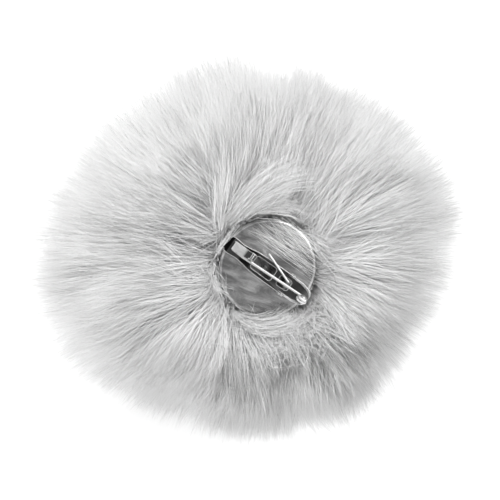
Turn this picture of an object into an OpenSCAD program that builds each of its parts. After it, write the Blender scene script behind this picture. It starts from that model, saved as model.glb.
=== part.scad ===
// Fur pompom brooch clip.
// A ball of long-pile faux fur with a steel disc set into its back. The disc carries a sprung
// alligator clip, and the clip's upper jaw carries a brooch needle and its catch.
// The pompom lies face down: +Z comes out of its back, +X runs along the clip from the catch
// to the needle's hinge, and the origin is on the surface it rests on, under its centre.

/* [Pompom] */
// Diameter over the fur
fur_d = 122; // [116:1:128]
// Height of the widest level above the resting surface
belly_z = 43; // [42:1:44]
// Radius of the flattened fur that the pompom rests on
foot_r = 25; // [22:1:28]
// Radius of the parting's rim in the fur around the disc
parting_r = 31; // [28:1:34]
// Radius of the sewn fabric ball that the pile grows from
ball_r = 25.2; // [25:0.1:25.4]
// Height of the fabric ball's centre
ball_z = 50; // [49:0.5:51]
// Thickness of the knitted backing
backing_t = 1.1; // [0.8:0.1:1.4]

/* [Disc] */
// Diameter of the steel disc
disc_d = 30; // [30:1:30]
// Depth of the disc from its face to the lower edge of its wall
disc_h = 2.4; // [2.2:0.1:2.6]
// Thickness of the disc's sheet
disc_t = 0.5; // [0.4:0.05:0.6]
// Outer radius of the rolled edge
roll_r = 1.3; // [1:0.1:1.6]

/* [Clip] */
// Sideways offset of the clip from the disc's centre
clip_y = -0.8; // [-1:0.1:0]
// Thickness of the clip's spring steel sheet
sheet_t = 0.5; // [0.4:0.05:0.5]
// Distance of the jaw's pivot from the disc's centre
pivot_x = 6.6; // [6.4:0.1:6.8]
// Height of the jaw's pivot above the disc's face
pivot_z = 3.1; // [3:0.1:3.3]
// Radius of the pivot pin
pin_r = 0.5; // [0.4:0.05:0.5]
// Radius of the jaw spring's wire
spring_wire_r = 0.3; // [0.2:0.05:0.3]

/* [Needle] */
// Radius of the needle's wire
needle_r = 0.4; // [0.35:0.05:0.4]
// Length of the needle from its eye to its point
needle_len = 25.2; // [24:0.1:25.4]
// Angle at which the needle descends towards the catch
needle_slope = 10.9; // [10.7:0.1:11.1]
// Angle between the needle and the clip's centre line, seen from above
needle_yaw = 2.4; // [2:0.1:2.6]
// Lean of the needle's hinge from level, so that it swings out of the catch as it rises
hinge_lean = 25; // [24:1:28]

/* [Hidden] */
$fn = 64;

// Levels: the backing's flat back, and the disc's outer face above it
flat_h = 20.2;
back_z = ball_z + flat_h;
face_z = back_z + disc_h;
disc_r = disc_d / 2;
soft_gap = 0.1;

// Pompom outline: an ellipse of revolution cut off flat at the foot
fur_r = fur_d / 2;
fur_b = belly_z / sqrt(1 - pow(foot_r / fur_r, 2));
foot_angle = -acos(foot_r / fur_r);
rim_angle = acos(parting_r / fur_r);
fur_steps = 26;
parting_foot_r = disc_r + 1.2;

// Thread that gathers the backing, and the knot beside it
thread_r = 0.25;
thread_ring_r = 4.2;
knot_r = 0.6;

// Rivets that hold the clip's base to the disc
rivet_xs = [-1.2, 3.2];
rivet_r = 0.6;
rivet_head_r = 1.0;
rivet_head_h = 0.35;

// Clip base and its two ears
ear_inner_y = 2.2;
ear_t = 0.45;
ear_r = 1.25;

// Upper jaw, seen from the side: the top of its sheet rises in two straight runs
nose_x = -15.2;
run_x = -14.1;
run_z = 1.6;
bend_x = 8;
tail_x = 13.3;
run_slope = tan(10.4);
tail_slope = tan(17);
function jaw_top(x) = x < bend_x
    ? run_z + (x - run_x) * run_slope
    : run_z + (bend_x - run_x) * run_slope + (x - bend_x) * tail_slope;
jaw_gap = 0.12;

// Upper jaw, seen from above: half widths along its length
JAW_PLAN = [
    [nose_x, 1.9], [nose_x + 0.35, 2.45], [nose_x + 1, 2.65], [-13.2, 2.6], [-10.8, 2.35],
    [-8.6, 2.6], [-6.2, 3.05], [-3, 3.25], [4.2, 3.3], [9.2, 3.25], [11.4, 2.75],
    [12.6, 2.2], [tail_x, 1.3]
];

// Windows in the upper jaw: [first x, last x, half width]
WINDOWS = [[-5.9, 1.2, 2.1], [3.0, 6.9, 1.7]];
window_corner = 0.8;

// Needle: its hinge, its eye and its line
hinge = [11.3, -0.45, 8.25];
eye_r = 1.0;
needle_point = 4;
tangent = [0, eye_r * cos(90 - hinge_lean), -eye_r * sin(90 - hinge_lean)];
line_x = hinge[0] - tangent[2] * sin(needle_slope);
line_z = hinge[2] + tangent[2] * cos(needle_slope);
function needle_z(x) = line_z - (line_x - x) * tan(needle_slope);
function needle_y(x) = hinge[1] + tangent[1] - (line_x - x) * tan(needle_yaw);
lug_t = 0.5;
lug_r = 1.7;
needle_rivet_r = 0.4;
head_gap = 0.1;

// Catch: a tongue rolled back over the nose, open on the side that the needle leaves by
catch_h = 0.95;
catch_t = 0.45;
catch_x0 = -14;
roll_x = -7.7;
roll_z0 = jaw_top(roll_x);
roll_z1 = needle_z(roll_x) + catch_h;
roll_in = (roll_z1 - roll_z0) / 2 * cos(needle_slope);
catch_y1 = 1.8;
catch_cover = 0.15;

// Jaw spring
coil_r = 1.0;
coil_pitch = 0.66;
coil_turns = 4;
leg_angle = 17;
leg_len = 4.6;
coil_y0 = -1.85;
coil_end_y = coil_y0 + coil_pitch * (coil_turns + (90 - leg_angle) / 360);

// ---- shared shapes ----

// A solid ball cut off flat above its centre
module flat_ball(r, h) {
    translate([0, 0, ball_z])
        intersection() {
            sphere(r = r, $fn = 128);
            translate([-r, -r, -r - 1]) cube([2 * r, 2 * r, r + 1 + h]);
        }
}

// Places children in the clip's own frame, on the disc's face
module on_disc() {
    translate([0, clip_y, face_z]) children();
}

// Extrudes an outline drawn in x and z through the width w, centred on y
module across(w) {
    rotate([90, 0, 0]) linear_extrude(height = w, center = true) children();
}

// A bar along y, as a pin or a bore
module crossbar(x, z, r, y0, y1) {
    translate([x, y0, z]) rotate([-90, 0, 0]) cylinder(r = r, h = y1 - y0);
}

// A smooth wire swept along points: rings of `sides` corners, turned to follow the path
function unit(v) = v / norm(v);
function heading(p, i) = unit(p[min(i + 1, len(p) - 1)] - p[max(i - 1, 0)]);
function ring_side(t) = unit(cross(t, abs(t[1]) < 0.9 ? [0, 1, 0] : [1, 0, 0]));
module wire(path, r, sides = 12) {
    points = [
        for (i = [0 : len(path) - 1])
            let (t = heading(path, i), u = ring_side(t), v = cross(t, u))
                for (k = [0 : sides - 1])
                    path[i] + r * (cos(k * 360 / sides) * u + sin(k * 360 / sides) * v)
    ];
    last = (len(path) - 1) * sides;
    faces = concat(
        [[for (k = [0 : sides - 1]) k]],
        [for (i = [0 : len(path) - 2])
            for (k = [0 : sides - 1])
                let (a = i * sides, b = (k + 1) % sides)
                    [a + sides + k, a + sides + b, a + b, a + k]],
        [[for (k = [0 : sides - 1]) last + sides - 1 - k]]
    );
    polyhedron(points = points, faces = faces);
}

// ---- pompom ----

module fur_pile() {
    outline = [
        for (i = [0 : fur_steps])
            let (a = foot_angle + (rim_angle - foot_angle) * i / fur_steps)
                [fur_r * cos(a), belly_z + fur_b * sin(a)]
    ];
    color("gainsboro")
        difference() {
            rotate_extrude($fn = 128)
                polygon(concat(
                    [[0, 0]], outline,
                    [[parting_foot_r, face_z], [disc_r, back_z - 0.5], [0, back_z - 0.5]]
                ));
            translate([0, 0, ball_z]) sphere(r = ball_r + soft_gap, $fn = 128);
        }
}

module cover_backing() {
    mouth_r = 2.5;
    color("whitesmoke")
        difference() {
            flat_ball(ball_r, flat_h);
            flat_ball(ball_r - backing_t, flat_h - backing_t);
            translate([0, 0, back_z - 2 * backing_t]) cylinder(r = mouth_r, h = 3 * backing_t);
        }
}

module stuffing_ball() {
    inset = backing_t + soft_gap;
    color("white") flat_ball(ball_r - inset, flat_h - inset);
}

module gathering_thread() {
    color("ivory") {
        translate([0, 0, back_z + thread_r])
            rotate_extrude($fn = 96) translate([thread_ring_r, 0]) circle(r = thread_r, $fn = 24);
        translate([thread_ring_r + thread_r + knot_r * 0.8, 0, back_z + knot_r])
            sphere(r = knot_r, $fn = 32);
    }
}

module glue_pad() {
    pad_r = disc_r - roll_r - 0.3;
    room = 0.1;
    groove = thread_r + room;
    color("khaki")
        difference() {
            translate([0, 0, back_z]) cylinder(r = pad_r, h = disc_h - disc_t);
            translate([0, 0, back_z - 1])
                difference() {
                    cylinder(r = thread_ring_r + groove, h = 1 + 2 * thread_r + room);
                    cylinder(r = thread_ring_r - groove, h = 1 + 2 * thread_r + room);
                }
            translate([thread_ring_r + thread_r + knot_r * 0.8, 0, back_z - 1])
                cylinder(r = knot_r + room, h = 1 + 2 * knot_r + room);
            for (x = rivet_xs)
                translate([x, clip_y, face_z - disc_t - rivet_head_h - room])
                    cylinder(r = rivet_head_r + room, h = 1);
        }
}

// ---- disc and clip base ----

module disc_plate() {
    in_r = roll_r - disc_t;
    flat_r = disc_r - roll_r;
    color("silver")
        difference() {
            translate([0, 0, back_z])
                rotate_extrude($fn = 128)
                    difference() {
                        union() {
                            square([flat_r, disc_h]);
                            square([disc_r, disc_h - roll_r]);
                            translate([flat_r, disc_h - roll_r]) circle(r = roll_r);
                        }
                        translate([0, -1]) square([flat_r, disc_h - disc_t + 1]);
                        translate([0, -1]) square([flat_r + in_r, disc_h - roll_r + 1]);
                        translate([flat_r, disc_h - roll_r]) circle(r = in_r);
                        translate([-disc_d, -disc_d]) square([disc_d, 2 * disc_d]);
                    }
            for (x = rivet_xs)
                translate([x, clip_y, back_z]) cylinder(r = rivet_r, h = 2 * disc_h);
        }
}

module clip_base() {
    strip = [[-9, -1.2], [-5, -1.9], [11.4, -1.9], [11.4, 1.9], [-5, 1.9], [-9, 1.2]];
    ear_w = 2 * ear_r;
    color("silver")
        on_disc()
            difference() {
                union() {
                    linear_extrude(height = sheet_t) polygon(strip);
                    translate([pivot_x - ear_r, -ear_inner_y - ear_t, 0])
                        cube([ear_w, 2 * (ear_inner_y + ear_t), sheet_t]);
                    for (y = [-ear_inner_y - ear_t, ear_inner_y]) {
                        translate([pivot_x - ear_r, y, 0]) cube([ear_w, ear_t, pivot_z]);
                        crossbar(pivot_x, pivot_z, ear_r, y, y + ear_t);
                    }
                }
                crossbar(pivot_x, pivot_z, pin_r + 0.02, -5, 5);
                for (x = rivet_xs)
                    translate([x, 0, -1]) cylinder(r = rivet_r, h = 3);
            }
}

module base_rivets() {
    tail_z = -disc_t - rivet_head_h;
    color("gray")
        on_disc()
            for (x = rivet_xs)
                translate([x, 0, 0]) {
                    translate([0, 0, tail_z]) cylinder(r = rivet_head_r, h = rivet_head_h);
                    translate([0, 0, tail_z]) cylinder(r = rivet_r, h = rivet_head_h + disc_t + sheet_t);
                    translate([0, 0, sheet_t]) cylinder(r1 = rivet_head_r, r2 = rivet_r, h = rivet_head_h);
                }
}

// ---- upper jaw ----

// The jaw's plan as a prism, narrowed by `inset` on each side
module jaw_prism(inset, height) {
    right = [for (p = JAW_PLAN) [p[0], -(p[1] - inset)]];
    left = [for (i = [len(JAW_PLAN) - 1 : -1 : 0]) [JAW_PLAN[i][0], JAW_PLAN[i][1] - inset]];
    translate([0, 0, -1]) linear_extrude(height = height) polygon(concat(right, left));
}

module rounded_window(x0, x1, half_w) {
    c = window_corner;
    translate([0, 0, -1])
        linear_extrude(height = 14)
            union() {
                translate([x0 + c, -half_w]) square([x1 - x0 - 2 * c, 2 * half_w]);
                translate([x0, c - half_w]) square([x1 - x0, 2 * (half_w - c)]);
                for (x = [x0 + c, x1 - c])
                    for (y = [c - half_w, half_w - c])
                        translate([x, y]) circle(r = c);
            }
}

// Sheet with its sides turned down along the jaw and up along the press end
module jaw_channel() {
    wall_top = [
        [tail_x, jaw_top(tail_x)], [12.7, 7.75], [12.2, 8.15], [11.2, 8.1], [8.8, 7.3],
        [7.4, 6.6], [6.2, jaw_top(6.2)]
    ];
    nose = [[run_x, run_z], [nose_x + 0.55, 1.35], [nose_x + 0.15, 0.95], [nose_x, 0.45]];
    skirt = [
        [nose_x, jaw_gap], [-9.4, jaw_gap], [-5.5, 0.9], [2.4, 1.5], [5.4, 1.75],
        [7.8, 1.75], [9, 3.1], [10, 5.4], [tail_x, jaw_top(tail_x) - sheet_t]
    ];
    under = [
        [nose_x + 0.5, -1], [nose_x + 0.5, 0.5], [nose_x + 0.7, 0.85], [run_x + 0.1, run_z - sheet_t],
        [bend_x, jaw_top(bend_x) - sheet_t], [tail_x + 1, jaw_top(tail_x + 1) - sheet_t],
        [tail_x + 1, -1]
    ];
    over = [
        [run_x, run_z], [bend_x, jaw_top(bend_x)], [tail_x + 1, jaw_top(tail_x + 1)],
        [tail_x + 1, 12], [run_x, 12]
    ];
    difference() {
        intersection() {
            jaw_prism(0, 14);
            across(10) polygon(concat(wall_top, nose, skirt));
        }
        intersection() {
            jaw_prism(sheet_t, 14);
            across(10) polygon(under);
        }
        intersection() {
            jaw_prism(sheet_t, 14);
            across(10) polygon(over);
        }
    }
}

// Tongue that rolls up out of the sheet and lies over the nose as the needle's catch
module catch_tongue() {
    roof_x1 = roll_x + 0.3;
    roof = [
        [catch_x0, needle_z(catch_x0) + catch_h], [roof_x1, needle_z(roof_x1) + catch_h],
        [roof_x1, needle_z(roof_x1) + catch_h + catch_t],
        [catch_x0, needle_z(catch_x0) + catch_h + catch_t]
    ];
    lip = [
        [catch_x0, needle_z(catch_x0) - 0.1], [roll_x - 1.6, needle_z(roll_x - 1.6) - 0.1],
        [roll_x - 1.6, needle_z(roll_x - 1.6) + catch_h + 0.2],
        [catch_x0, needle_z(catch_x0) + catch_h + 0.2]
    ];
    open_edge = [for (x = [catch_x0, roll_x - 0.6]) [x, needle_y(x) + catch_cover]];
    root_y0 = needle_y(roll_x) + needle_r + 0.2;
    intersection() {
        across(10) polygon(roof);
        translate([0, 0, -1])
            linear_extrude(height = 14)
                polygon(concat(
                    [[catch_x0 - 1, catch_y1], [catch_x0 - 1, open_edge[0][1]]], open_edge,
                    [[open_edge[1][0], root_y0], [roll_x + 1, root_y0], [roll_x + 1, catch_y1]]
                ));
    }
    translate([0, catch_y1 - catch_t / 2, 0]) across(catch_t) polygon(lip);
    translate([roll_x, root_y0, (roll_z0 + roll_z1) / 2])
        rotate([0, -needle_slope, 0])
            difference() {
                rotate([-90, 0, 0]) cylinder(r = roll_in + catch_t, h = catch_y1 - root_y0);
                translate([0, -1, 0]) rotate([-90, 0, 0]) cylinder(r = roll_in, h = 9);
                translate([-5, -1, -5]) cube([5, 9, 10]);
            }
}

// Frame of the needle's hinge: z is its axis, and -x runs along the needle
module at_hinge() {
    translate(hinge)
        rotate([0, 0, needle_yaw])
            rotate([0, -needle_slope, 0])
                rotate([hinge_lean - 90, 0, 0]) children();
}

// Lug beside the needle's eye, with the tab that joins it to the press end
module needle_lug() {
    z0 = -needle_r - head_gap - lug_t;
    at_hinge()
        difference() {
            union() {
                translate([0, 0, z0]) cylinder(r = lug_r, h = lug_t);
                translate([-1.2, 0, z0]) cube([2.4, lug_r + 0.1, lug_t]);
            }
            translate([0, 0, z0 - 1]) cylinder(r = needle_rivet_r + 0.01, h = 3);
        }
}

module clip_lever() {
    color("silver")
        on_disc()
            difference() {
                union() {
                    difference() {
                        jaw_channel();
                        for (w = WINDOWS)
                            rounded_window(w[0], w[1], w[2]);
                    }
                    catch_tongue();
                    needle_lug();
                }
                crossbar(pivot_x, pivot_z, pin_r + 0.05, -5, 5);
            }
}

module pivot_pin() {
    half = JAW_PLAN[8][1] + 0.06;
    head_r = 0.85;
    head_h = 0.4;
    color("gainsboro")
        on_disc() {
            crossbar(pivot_x, pivot_z, pin_r, -half - head_h, half + head_h);
            crossbar(pivot_x, pivot_z, head_r, -half - head_h, -half);
            crossbar(pivot_x, pivot_z, head_r, half, half + head_h);
        }
}

// ---- jaw spring: a coil with a lower leg, and the arm that presses on the jaw ----

function coil_point(a) = [
    pivot_x - coil_r * sin(a), coil_y0 + coil_pitch * (a - leg_angle) / 360, pivot_z - coil_r * cos(a)
];

module spring_coil() {
    step = 15;
    sweep = 360 * coil_turns + 90 - leg_angle;
    count = ceil(sweep / step);
    leg = coil_point(leg_angle) + leg_len * [cos(leg_angle), 0, -sin(leg_angle)];
    path = concat([leg], [for (i = [0 : count]) coil_point(leg_angle + sweep * i / count)]);
    color("lightgray") on_disc() wire(path, spring_wire_r);
}

module spring_arm() {
    foot = [pivot_x - coil_r, coil_end_y + 0.06, pivot_z + 0.06];
    knee = foot + [0, 0, 2.45];
    over = knee + [-0.5, 0.12, 0.38];
    tip = [-3.6, 4.35, 3.75];
    path = [foot, foot + [0, 0, 1.6], knee, knee + [-0.14, 0.02, 0.25], over, (over + tip) / 2, tip];
    color("lightgray") on_disc() wire(path, spring_wire_r);
}

// ---- needle ----

module needle() {
    eye_sweep = 325;
    color("lightgray")
        on_disc()
            at_hinge() {
                rotate([0, 0, 90 - eye_sweep])
                    rotate_extrude(angle = eye_sweep, $fn = 96)
                        translate([eye_r, 0]) circle(r = needle_r, $fn = 32);
                translate([0, eye_r, 0])
                    rotate([0, -90, 0]) {
                        cylinder(r = needle_r, h = needle_len - needle_point, $fn = 32);
                        translate([0, 0, needle_len - needle_point])
                            cylinder(r1 = needle_r, r2 = 0.06, h = needle_point, $fn = 32);
                    }
            }
}

module needle_rivet() {
    head_r = 0.9;
    head_h = 0.35;
    z0 = -needle_r - head_gap - lug_t;
    z1 = needle_r + head_gap;
    color("gainsboro")
        on_disc()
            at_hinge() {
                translate([0, 0, z0 - head_h]) cylinder(r = needle_rivet_r, h = z1 - z0 + 2 * head_h);
                translate([0, 0, z0 - head_h]) cylinder(r1 = head_r * 0.6, r2 = head_r, h = head_h);
                translate([0, 0, z1]) cylinder(r1 = head_r, r2 = head_r * 0.6, h = head_h);
            }
}

fur_pile();
cover_backing();
stuffing_ball();
gathering_thread();
glue_pad();
disc_plate();
clip_base();
base_rivets();
clip_lever();
pivot_pin();
spring_coil();
spring_arm();
needle();
needle_rivet();
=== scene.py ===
"""Fur pompom brooch clip: the looks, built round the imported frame.

The pompom lies face down with its steel disc up. The fur is real strands: each one is a thin
three-sided blade swept along a curve from the knitted backing to the outline of the pile.
"""

import math

import bmesh
import bpy
import numpy as np
from mathutils import Matrix, Vector


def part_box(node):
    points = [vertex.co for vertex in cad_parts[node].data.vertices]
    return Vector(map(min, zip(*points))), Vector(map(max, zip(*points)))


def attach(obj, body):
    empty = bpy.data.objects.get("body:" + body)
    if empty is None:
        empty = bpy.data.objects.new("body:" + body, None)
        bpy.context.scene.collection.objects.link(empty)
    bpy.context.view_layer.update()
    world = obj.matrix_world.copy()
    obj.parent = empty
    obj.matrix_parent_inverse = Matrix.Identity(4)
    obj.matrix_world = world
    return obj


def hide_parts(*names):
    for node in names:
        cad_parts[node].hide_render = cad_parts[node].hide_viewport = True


MM = 0.001

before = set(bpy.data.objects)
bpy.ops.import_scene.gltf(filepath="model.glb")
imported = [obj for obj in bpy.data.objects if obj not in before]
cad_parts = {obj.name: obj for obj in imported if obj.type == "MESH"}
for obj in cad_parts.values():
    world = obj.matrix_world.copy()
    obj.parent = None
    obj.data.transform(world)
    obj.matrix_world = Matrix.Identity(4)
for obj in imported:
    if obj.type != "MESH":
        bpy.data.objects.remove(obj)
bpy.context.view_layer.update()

# ---- places read from the frame ----

disc_low, disc_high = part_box("disc_plate")
lever_low, lever_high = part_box("clip_lever")
fur_low, fur_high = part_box("fur_pile")
backing_low, backing_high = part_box("cover_backing")

DISC = Vector(((disc_low.x + disc_high.x) / 2, (disc_low.y + disc_high.y) / 2, disc_high.z))
DISC_R = (disc_high.x - disc_low.x) / 2
DISC_WALL = disc_high.z - disc_low.z
FUR_R = (fur_high.x - fur_low.x) / 2
BALL_R = (backing_high.x - backing_low.x) / 2
BALL_Z = backing_low.z + BALL_R
BELLY_Z = 43 * MM
FOOT_R = 25 * MM
FUR_B = BELLY_Z / math.sqrt(1 - (FOOT_R / FUR_R) ** 2)


# ---- helpers ----

def new_material(name):
    """A node material with a Principled shader, and handles to its tree and shader."""
    material = bpy.data.materials.new(name)
    material.use_nodes = True
    return material, material.node_tree, material.node_tree.nodes["Principled BSDF"]


def set_plain(shader, **values):
    """Sets uniform values on the shader's own sockets, underscores standing for spaces."""
    for key, value in values.items():
        shader.inputs[key.replace("_", " ")].default_value = value


def add_node(tree, kind, links=(), **values):
    """Adds a node: values i0, i1 ... go to its inputs by index, capitalised ones to its inputs by
    name, and others to its properties. Links are pairs of an output and the input it feeds."""
    node = tree.nodes.new(kind)
    for key, value in values.items():
        if key[0] == "i" and key[1:].isdigit():
            node.inputs[int(key[1:])].default_value = value
        elif key[0].isupper():
            node.inputs[key.replace("_", " ")].default_value = value
        else:
            setattr(node, key, value)
    for source, target in links:
        tree.links.new(source, node.inputs[target])
    return node


def new_group(name, inputs, outputs):
    """A shader node group with named number inputs and (name, kind) outputs, and the two nodes
    inside it that hand out its inputs and take in its outputs."""
    group = bpy.data.node_groups.new(name, "ShaderNodeTree")
    for label in inputs:
        group.interface.new_socket(name=label, in_out="INPUT", socket_type="NodeSocketFloat")
    for label, kind in outputs:
        group.interface.new_socket(name=label, in_out="OUTPUT", socket_type="NodeSocket" + kind)
    return group, group.nodes.new("NodeGroupInput"), group.nodes.new("NodeGroupOutput")


def place_group(tree, group, *values):
    """Places a node group in a tree and gives its inputs their values in order."""
    node = tree.nodes.new("ShaderNodeGroup")
    node.node_tree = group
    for socket, value in zip(node.inputs, values):
        socket.default_value = value
    return node


def ramp(tree, source, stops):
    """A colour ramp fed by source, with (position, grey or rgb) stops."""
    node = tree.nodes.new("ShaderNodeValToRGB")
    elements = node.color_ramp.elements
    while len(elements) < len(stops):
        elements.new(0.5)
    for element, (position, colour) in zip(elements, stops):
        rgb = (colour,) * 3 if isinstance(colour, (int, float)) else colour
        element.position = position
        element.color = (*rgb, 1)
    tree.links.new(source, node.inputs["Fac"])
    return node


def multiply(tree, a, b):
    """Product of two colours."""
    mix = add_node(tree, "ShaderNodeMix", data_type="RGBA", blend_type="MULTIPLY", i0=1.0)
    tree.links.new(a, mix.inputs[6])
    tree.links.new(b, mix.inputs[7])
    return mix.outputs[2]


def surface_piece(name, verts, faces, loop_uv=None, uv_name="surface"):
    """Makes an object of a numpy vertex array and a face array, smooth, with an optional UV
    for each loop. Faces may be triangles or quads."""
    size = faces.shape[1]
    mesh = bpy.data.meshes.new(name)
    mesh.vertices.add(len(verts))
    mesh.vertices.foreach_set("co", verts.reshape(-1).astype(np.float32))
    mesh.loops.add(faces.size)
    mesh.loops.foreach_set("vertex_index", faces.reshape(-1).astype(np.int32))
    mesh.polygons.add(len(faces))
    mesh.polygons.foreach_set("loop_start", np.arange(0, faces.size, size, dtype=np.int32))
    mesh.polygons.foreach_set("use_smooth", np.ones(len(faces), bool))
    if loop_uv is not None:
        layer = mesh.uv_layers.new(name=uv_name)
        layer.data.foreach_set("uv", loop_uv.reshape(-1).astype(np.float32))
    mesh.update()
    mesh.validate()
    piece = bpy.data.objects.new(name, mesh)
    bpy.context.scene.collection.objects.link(piece)
    return piece


def declare(piece, body, node):
    """Rides a piece on its body and hides the CAD node it stands for."""
    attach(piece, body)
    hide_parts(node)


def fur_material():
    """Acrylic pile: painted shade at the root, where the pile shadows itself, pale at the tip, with a
    tint for each strand, darkened as painted shade in the rubbed patch, and a fine change of tone
    along its length."""
    material, tree, shader = new_material("faux_fur")
    set_plain(shader, Roughness=0.60, Specular_IOR_Level=0.25, Sheen_Weight=0.2, Sheen_Roughness=0.4)
    place = add_node(tree, "ShaderNodeUVMap", uv_map=STRAND_UV)
    split = add_node(tree, "ShaderNodeSeparateXYZ", [(place.outputs[0], 0)])
    # Painted shade: each strand darkens towards its root, standing in for the shadow deep in the
    # pile; it is lightest past mid-length.
    along = ramp(tree, split.outputs[0], [(0.0, 0.56), (0.25, 0.83), (0.6, 0.91), (1.0, 0.75)])
    tint = ramp(tree, split.outputs[1], [(0.0, 0.34), (0.15, 0.74), (0.35, 0.94), (1.0, 1.0)])
    stretch = add_node(tree, "ShaderNodeMapping", [(place.outputs[0], 0)], Scale=(6, 60, 1))
    grain = add_node(tree, "ShaderNodeTexNoise", [(stretch.outputs[0], 0)], Scale=1.0)
    tone = ramp(tree, grain.outputs[0], [(0.3, 0.92), (0.7, 1.0)])
    both = multiply(tree, along.outputs[0], tint.outputs[0])
    tree.links.new(multiply(tree, both, tone.outputs[0]), shader.inputs["Base Color"])
    return material


# ---- camera, floor and light ----

CLIP_TURN = math.radians(35.7)
VIEW_TILT = math.radians(17.0)
CAMERA_AWAY = 0.80
VIEW_WIDTH = 0.1482
DISC_OFF_CENTRE = (5.45 * MM, -5.45 * MM)


def make_camera():
    """Looks down on the disc, tilted from its axis towards the clip's nose, and turned so that
    the clip runs down to the right."""
    away = Vector((-math.sin(VIEW_TILT), 0, math.cos(VIEW_TILT)))
    along_clip = Vector((math.cos(VIEW_TILT), 0, math.sin(VIEW_TILT)))
    across_clip = Vector((0, 1, 0))
    right = along_clip * math.cos(CLIP_TURN) + across_clip * math.sin(CLIP_TURN)
    up = across_clip * math.cos(CLIP_TURN) - along_clip * math.sin(CLIP_TURN)
    aim = DISC - right * DISC_OFF_CENTRE[0] - up * DISC_OFF_CENTRE[1]
    data = bpy.data.cameras.new("camera")
    data.sensor_width = 36.0
    data.lens = data.sensor_width * CAMERA_AWAY / VIEW_WIDTH
    data.clip_start = 0.01
    data.clip_end = 20.0
    camera = bpy.data.objects.new("camera", data)
    bpy.context.scene.collection.objects.link(camera)
    turn = Matrix((right, up, away)).transposed().to_4x4()
    camera.matrix_world = Matrix.Translation(aim + away * CAMERA_AWAY) @ turn
    bpy.context.scene.camera = camera


def add_area(name, place, size, power, glare=False, aim=(0, 0, 0.04)):
    """A square soft light that faces the pompom, and that the steel shows only if it may glare."""
    data = bpy.data.lights.new(name, "AREA")
    data.shape = "SQUARE"
    data.size = size
    data.energy = power
    lamp = bpy.data.objects.new(name, data)
    bpy.context.scene.collection.objects.link(lamp)
    lamp.location = place
    lamp.rotation_euler = (Vector(aim) - Vector(place)).to_track_quat("-Z", "Y").to_euler()
    lamp.visible_glossy = glare


def make_floor():
    """A plain white floor that fills the view."""
    half = 6.0
    mesh = bpy.data.meshes.new("floor")
    corners = [(-half, -half, 0), (half, -half, 0), (half, half, 0), (-half, half, 0)]
    mesh.from_pydata(corners, [], [(0, 1, 2, 3)])
    floor = bpy.data.objects.new("floor", mesh)
    bpy.context.scene.collection.objects.link(floor)
    material, _, shader = new_material("floor_paper")
    set_plain(shader, Base_Color=(0.95, 0.95, 0.95, 1), Roughness=0.9)
    mesh.materials.append(material)


def make_world():
    """A soft studio, which polished steel shows: a dark ceiling, and walls that are brightest on
    the side of the disc's bare edge."""
    world = bpy.data.worlds.new("world")
    world.use_nodes = True
    tree = world.node_tree
    background = tree.nodes["Background"]
    background.inputs["Strength"].default_value = WORLD_LIGHT
    way = add_node(tree, "ShaderNodeTexCoord").outputs["Generated"]
    split = add_node(tree, "ShaderNodeSeparateXYZ", [(way, 0)])
    rise = ramp(tree, split.outputs["Z"],
                [(0.0, 1.0), (0.55, 1.0), (0.80, 0.95), (0.93, 0.42), (1.0, 0.31)])
    facing = add_node(tree, "ShaderNodeVectorMath", [(way, 0)], operation="DOT_PRODUCT",
                      i1=(BACK - LEFT).normalized())
    side = add_node(tree, "ShaderNodeMapRange", [(facing.outputs["Value"], 0)],
                    From_Min=-1.0, To_Min=0.7, To_Max=1.2)
    both = add_node(tree, "ShaderNodeVectorMath",
                    [(rise.outputs["Color"], 0), (side.outputs["Result"], 1)], operation="MULTIPLY")
    tree.links.new(both.outputs["Vector"], background.inputs["Color"])
    bpy.context.scene.world = world


WORLD_LIGHT = 1.0
LEFT = Vector((-math.cos(CLIP_TURN), -math.sin(CLIP_TURN), 0))
BACK = Vector((-math.sin(CLIP_TURN), math.cos(CLIP_TURN), 0))
make_camera()
make_floor()
make_world()
add_area("key_light", LEFT * 0.55 + BACK * 0.80 + Vector((0, 0, 0.85)), 0.8, 12.0)
add_area("fill_light", -LEFT * 0.75 + BACK * 0.45 + Vector((0, 0, 0.7)), 0.8, 5.5, glare=True)
add_area("low_light", -BACK * 0.95 + LEFT * 0.2 + Vector((0, 0, 0.75)), 0.8, 4.0)
add_area("side_light", LEFT * 1.0 - BACK * 0.2 + Vector((0, 0, 0.5)), 0.7, 5.0)
bpy.context.scene.view_settings.view_transform = "Standard"


# ---- fur ----

STRAND_UV = "OFBake"
SIDES = 3
# Radius of the combed-out pile, in mm, every 15 degrees round from the view's right
PILE_REACH = np.array([
    69.2, 71.3, 72.8, 66.5, 63.0, 61.5, 66.0, 63.5, 61.5, 64.5, 62.5, 66.0,
    70.2, 70.4, 68.3, 61.0, 58.8, 59.6, 60.4, 61.6, 65.0, 64.6, 64.0, 65.3,
]) * MM
# Seen angle of the middle of the rubbed patch, in degrees
RUBBED_SIDE = -72
# Bare pits in the pile beside the disc: seen angle, polar angle and half size, in degrees
PITS = (
    (163, 44.0, 6.0), (18, 41.0, 4.0), (-62, 48.0, 5.5),
    (-88, 48.5, 5.0), (-38, 46.0, 4.5), (-75, 57.0, 4.0),
)
FLOOR_GAP = 0.35 * MM
LEVELS_ROOT = np.radians([37.0, 50.0, 65.0, 90.0, 150.0, 180.0])
LEVELS_TIP = np.radians([50.0, 41.0, 28.0, 4.0, -63.0, -89.0])
SHARE = 1.0
WIDEN = 1.0
GOLDEN_TURN = math.pi * (3 - math.sqrt(5))
# Room left between the strands, in mm: over the jaw's nose, and where its press end swings. Each
# is its start and end along the clip and its half width.
NOSE_ROOM = (-15.5, -7.0, 4.8)
PRESS_ROOM = (8.0, 15.9, 4.2)


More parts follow.
